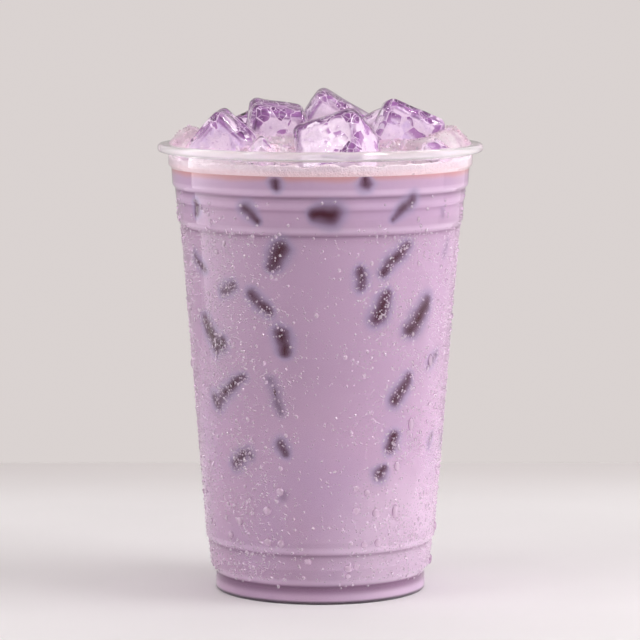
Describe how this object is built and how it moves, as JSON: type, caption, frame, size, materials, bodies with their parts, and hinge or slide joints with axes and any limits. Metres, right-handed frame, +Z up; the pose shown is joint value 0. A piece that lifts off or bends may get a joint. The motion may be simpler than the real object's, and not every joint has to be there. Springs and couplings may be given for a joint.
{
  "type": "taro bubble tea",
  "caption": "Clear ribbed takeaway cup with a rolled rim, full of lilac milk tea, with froth and rounded ice cubes heaped above the rim. It stands on its foot ring.",
  "frame": {"origin": "middle of the cup's foot ring, on the surface that the cup stands on", "axes": "+Z up along the cup's axis, -Y towards the pictured side, +X to its right"},
  "size_m": [0.0974, 0.0974, 0.1498],
  "materials": {
    "clear_plastic": "clear gloss",
    "taro_milk_tea": "smooth milky liquid",
    "milk_froth": "fine wet froth",
    "ice": "wet, cracked and clear"
  },
  "bodies": {
    "root": {"cup": "clear_plastic", "drink": "taro_milk_tea", "froth": "milk_froth", "ice_left": "ice", "ice_mid_left": "ice", "ice_back": "ice", "ice_front": "ice", "ice_right": "ice", "ice_middle": "ice", "ice_back_right": "ice", "ice_back_left": "ice", "ice_far_left": "ice", "ice_chip_back": "ice", "ice_chip_left": "ice", "ice_chip_right": "ice"}
  },
  "joints": []
}
